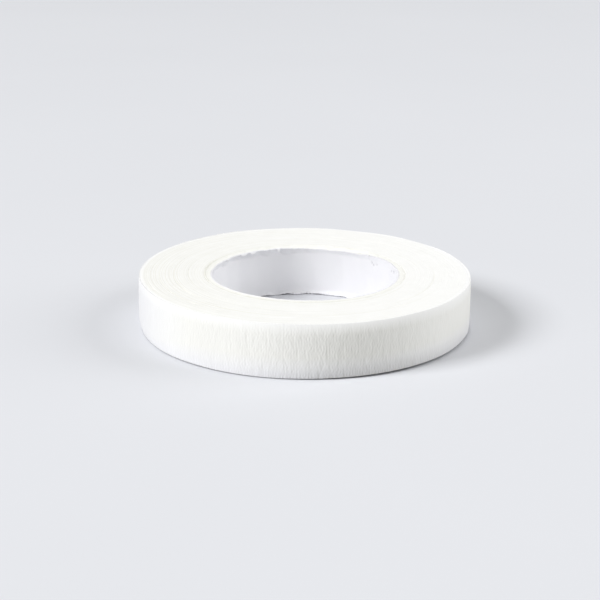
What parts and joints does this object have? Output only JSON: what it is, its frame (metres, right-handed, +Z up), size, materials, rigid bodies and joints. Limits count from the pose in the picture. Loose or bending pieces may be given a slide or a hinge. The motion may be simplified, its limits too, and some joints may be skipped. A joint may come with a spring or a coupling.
{
  "type": "roll of florist tape",
  "caption": "Roll of white waxed crepe-paper florist tape wound on an open paper core, lying on its side, with a free end that peels off the outer lap.",
  "frame": {"origin": "on the axis of the core, at the lower face that the roll lies on", "axes": "+Z up along the core's axis, +Y away from the camera of the picture, towards the free end of the tape"},
  "size_m": [0.0747, 0.0751, 0.012],
  "materials": {
    "crepe_tape": "white waxed crepe paper, fine wrinkles across the strip, matte with a faint wax sheen",
    "liner_paper": "smooth white paper ply, a little cooler than the tape",
    "core_board": "plain off-white board plies, seen only at their cut edges"
  },
  "bodies": {
    "roll": {"core_liner": "liner_paper", "core_board": "core_board", "core_wrap": "core_board", "tape_pack": "crepe_tape", "tape_outer_laps": "crepe_tape"},
    "tail_1": {"tape_tail_1": "crepe_tape"},
    "tail_2": {"tape_tail_2": "crepe_tape"},
    "tail_3": {"tape_tail_3": "crepe_tape"},
    "tail_4": {"tape_tail_4": "crepe_tape"},
    "tail_5": {"tape_tail_5": "crepe_tape"},
    "tail_6": {"tape_tail_6": "crepe_tape"},
    "tail_7": {"tape_tail_7": "crepe_tape"},
    "tail_8": {"tape_tail_8": "crepe_tape"}
  },
  "joints": [
    {"name": "tail_peel", "type": "hinge", "parent": "roll", "child": "tail_1", "pos_m": [0.02661, 0.02661, 0.006], "axis": [0, 0, -1], "range_deg": [0, 16]},
    {"name": "tail_bend_2", "type": "hinge", "parent": "tail_1", "child": "tail_2", "pos_m": [0.0216, 0.03085, 0.006], "axis": [0, 0, -1], "range_deg": [0, 16]},
    {"name": "tail_bend_3", "type": "hinge", "parent": "tail_2", "child": "tail_3", "pos_m": [0.01592, 0.03415, 0.006], "axis": [0, 0, -1], "range_deg": [0, 16]},
    {"name": "tail_bend_4", "type": "hinge", "parent": "tail_3", "child": "tail_4", "pos_m": [0.00976, 0.03642, 0.006], "axis": [0, 0, -1], "range_deg": [0, 16]},
    {"name": "tail_bend_5", "type": "hinge", "parent": "tail_4", "child": "tail_5", "pos_m": [0.00329, 0.03758, 0.006], "axis": [0, 0, -1], "range_deg": [0, 16]},
    {"name": "tail_bend_6", "type": "hinge", "parent": "tail_5", "child": "tail_6", "pos_m": [-0.00329, 0.0376, 0.006], "axis": [0, 0, -1], "range_deg": [0, 16]},
    {"name": "tail_bend_7", "type": "hinge", "parent": "tail_6", "child": "tail_7", "pos_m": [-0.00977, 0.03647, 0.006], "axis": [0, 0, -1], "range_deg": [0, 16]},
    {"name": "tail_bend_8", "type": "hinge", "parent": "tail_7", "child": "tail_8", "pos_m": [-0.01597, 0.03424, 0.006], "axis": [0, 0, -1], "range_deg": [0, 16]}
  ],
  "couplings": [
    {"joint": "tail_bend_2", "follows": "tail_peel", "ratio": 1},
    {"joint": "tail_bend_3", "follows": "tail_peel", "ratio": 1},
    {"joint": "tail_bend_4", "follows": "tail_peel", "ratio": 1},
    {"joint": "tail_bend_5", "follows": "tail_peel", "ratio": 1},
    {"joint": "tail_bend_6", "follows": "tail_peel", "ratio": 1},
    {"joint": "tail_bend_7", "follows": "tail_peel", "ratio": 1},
    {"joint": "tail_bend_8", "follows": "tail_peel", "ratio": 1}
  ]
}
